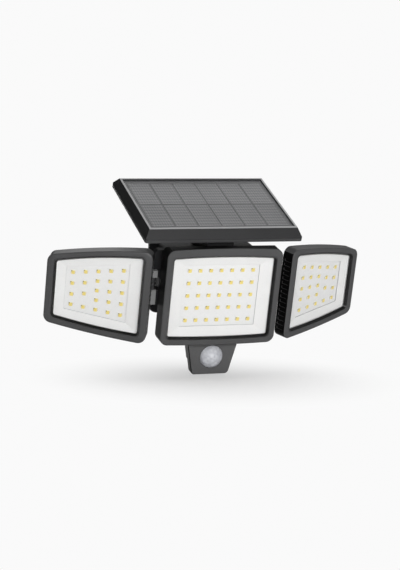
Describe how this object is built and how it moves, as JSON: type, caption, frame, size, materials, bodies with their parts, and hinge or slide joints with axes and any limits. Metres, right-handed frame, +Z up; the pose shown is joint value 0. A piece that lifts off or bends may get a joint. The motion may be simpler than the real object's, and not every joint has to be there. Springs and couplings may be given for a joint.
{
  "type": "motion sensor security light",
  "caption": "Wall-mounted motion sensor security light with side heads that swing on a centre head, a sensor below it and a tilting solar panel on top.",
  "frame": {"origin": "centre of the wall plate's rear face, midway between its two wall-screw holes", "axes": "+Z up, +Y towards the wall, +X to the right as seen by someone facing the lamp"},
  "size_m": [0.33, 0.139, 0.1953],
  "materials": {
    "black_plastic": "satin black ABS, fine texture",
    "black_coated": "satin black glass-filled nylon",
    "clear_plastic": "clear polished polycarbonate",
    "cover_clear": "clear laminate",
    "milky_plastic": "milky polyethylene with fine facets",
    "white_plastic": "white satin",
    "white_board": "white solder mask",
    "led_yellow": "pale yellow phosphor",
    "grey_silicone": "matte grey",
    "green_board": "green solder mask",
    "battery_wrap": "shrink-wrapped steel cans",
    "holder_plastic": "black",
    "tin_plate": "tin plate",
    "steel": "zinc plated",
    "solar_blue": "dark grey-blue silicon with silver grid lines",
    "backsheet": "dark laminate"
  },
  "bodies": {
    "bracket": {"wall_plate": "black_coated", "bracket_arm": "black_coated", "bracket_screws": "steel", "lamp_pivot_bolt": "steel", "lamp_pivot_nut": "steel"},
    "lamp": {"centre_housing": "black_plastic", "rear_housing": "black_plastic", "rear_housing_screws": "steel", "centre_lens_frame": "black_plastic", "centre_lens": "clear_plastic", "centre_gasket": "grey_silicone", "centre_reflector": "white_plastic", "centre_led_board": "white_board", "centre_leds": "led_yellow", "battery_holder": "holder_plastic", "battery_cells": "battery_wrap", "control_board": "green_board", "button_switch": "tin_plate", "pir_front_shell": "black_plastic", "pir_rear_shell": "black_plastic", "pir_lens": "milky_plastic", "pir_sensor": "tin_plate", "pir_board": "green_board", "left_hinge_screw": "steel", "right_hinge_screw": "steel"},
    "left_head": {"left_housing": "black_plastic", "left_lens_frame": "black_plastic", "left_lens": "clear_plastic", "left_gasket": "grey_silicone", "left_reflector": "white_plastic", "left_led_board": "white_board", "left_leds": "led_yellow"},
    "right_head": {"right_housing": "black_plastic", "right_lens_frame": "black_plastic", "right_lens": "clear_plastic", "right_gasket": "grey_silicone", "right_reflector": "white_plastic", "right_led_board": "white_board", "right_leds": "led_yellow"},
    "panel": {"panel_tray": "black_plastic", "panel_backsheet": "backsheet", "solar_cells": "solar_blue", "panel_cover_sheet": "cover_clear", "panel_hinge_bracket": "black_coated", "panel_bracket_screws": "steel", "panel_pivot_bolt": "steel", "panel_pivot_nut": "steel"},
    "mode_button": {"mode_button": "black_plastic"}
  },
  "joints": [
    {"name": "lamp_pitch", "type": "hinge", "parent": "bracket", "child": "lamp", "pos_m": [0, -0.0602, 0.0258], "axis": [1, 0, 0], "range_deg": [-14, 30]},
    {"name": "left_yaw", "type": "hinge", "parent": "lamp", "child": "left_head", "pos_m": [-0.067, -0.09875, -0.00985], "axis": [0, 0.2888, -0.9574], "range_deg": [-26.1, 20]},
    {"name": "right_yaw", "type": "hinge", "parent": "lamp", "child": "right_head", "pos_m": [0.067, -0.09875, -0.00985], "axis": [0, -0.2888, 0.9574], "range_deg": [-26.1, 20]},
    {"name": "panel_tilt", "type": "hinge", "parent": "lamp", "child": "panel", "pos_m": [0, -0.0994, 0.04427], "axis": [1, 0, 0], "range_deg": [-27, 5]},
    {"name": "mode_press", "type": "slide", "parent": "lamp", "child": "mode_button", "axis": [0, -0.9574, -0.2888], "range_m": [0, 0.001], "stiffness_N_per_m": 1500, "springref_m": -0.0005}
  ]
}
